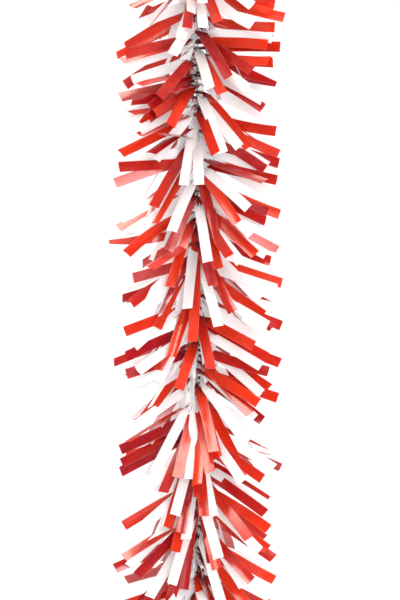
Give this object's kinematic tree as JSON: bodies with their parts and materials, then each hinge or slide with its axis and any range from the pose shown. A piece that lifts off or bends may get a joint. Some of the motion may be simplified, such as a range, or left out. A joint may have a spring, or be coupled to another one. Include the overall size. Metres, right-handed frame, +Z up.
{
  "type": "pom garland",
  "caption": "Hanging pom garland: red and white film strips gripped crosswise in a bendable twisted wire core, with a wire hanging eye at each end.",
  "frame": {"origin": "centre of the top wire eye, which the garland hangs from", "axes": "+Z up along the hanging core, towards the top eye; +Y through the two eyes"},
  "size_m": [0.146, 0.146, 0.7885],
  "materials": {
    "red_film": "semi-gloss vinyl film",
    "white_film": "semi-gloss vinyl film, faintly translucent",
    "steel_wire": "galvanised, dull grey"
  },
  "bodies": {
    "length_1": {"core_wire_a_1": "steel_wire", "core_wire_b_1": "steel_wire", "red_strips_1": "red_film", "white_strips_1": "white_film", "white_bearing_strips_1": "white_film", "flex_wires_1": "steel_wire", "top_eye": "steel_wire"},
    "length_2": {"core_wire_a_2": "steel_wire", "core_wire_b_2": "steel_wire", "red_strips_2": "red_film", "white_strips_2": "white_film", "white_bearing_strips_2": "white_film", "flex_wires_2": "steel_wire"},
    "length_3": {"core_wire_a_3": "steel_wire", "core_wire_b_3": "steel_wire", "red_strips_3": "red_film", "white_strips_3": "white_film", "white_bearing_strips_3": "white_film", "flex_wires_3": "steel_wire"},
    "length_4": {"core_wire_a_4": "steel_wire", "core_wire_b_4": "steel_wire", "red_strips_4": "red_film", "white_strips_4": "white_film", "white_bearing_strips_4": "white_film", "flex_wires_4": "steel_wire"},
    "length_5": {"core_wire_a_5": "steel_wire", "core_wire_b_5": "steel_wire", "red_strips_5": "red_film", "white_strips_5": "white_film", "white_bearing_strips_5": "white_film", "flex_wires_5": "steel_wire"},
    "length_6": {"core_wire_a_6": "steel_wire", "core_wire_b_6": "steel_wire", "red_strips_6": "red_film", "white_strips_6": "white_film", "white_bearing_strips_6": "white_film", "bottom_eye": "steel_wire", "tail_wrap": "steel_wire"}
  },
  "joints": [
    {"name": "flex_1", "type": "hinge", "parent": "length_1", "child": "length_2", "pos_m": [0, 0, -0.13767], "axis": [0, 1, 0], "range_deg": [-35, 35], "deforming": ["flex_wires_1", "red_strips_1", "white_strips_1", "white_bearing_strips_1"]},
    {"name": "flex_2", "type": "hinge", "parent": "length_2", "child": "length_3", "pos_m": [0, 0, -0.25933], "axis": [1, 0, 0], "range_deg": [-35, 35], "deforming": ["flex_wires_2", "red_strips_2", "white_strips_2", "white_bearing_strips_2"]},
    {"name": "flex_3", "type": "hinge", "parent": "length_3", "child": "length_4", "pos_m": [0, 0, -0.381], "axis": [0, 1, 0], "range_deg": [-35, 35], "deforming": ["flex_wires_3", "red_strips_3", "white_strips_3", "white_bearing_strips_3"]},
    {"name": "flex_4", "type": "hinge", "parent": "length_4", "child": "length_5", "pos_m": [0, 0, -0.50267], "axis": [1, 0, 0], "range_deg": [-35, 35], "deforming": ["flex_wires_4", "red_strips_4", "white_strips_4", "white_bearing_strips_4"]},
    {"name": "flex_5", "type": "hinge", "parent": "length_5", "child": "length_6", "pos_m": [0, 0, -0.62433], "axis": [0, 1, 0], "range_deg": [-35, 35], "deforming": ["flex_wires_5", "red_strips_5", "white_strips_5", "white_bearing_strips_5", "red_strips_6", "white_strips_6", "white_bearing_strips_6"]}
  ]
}
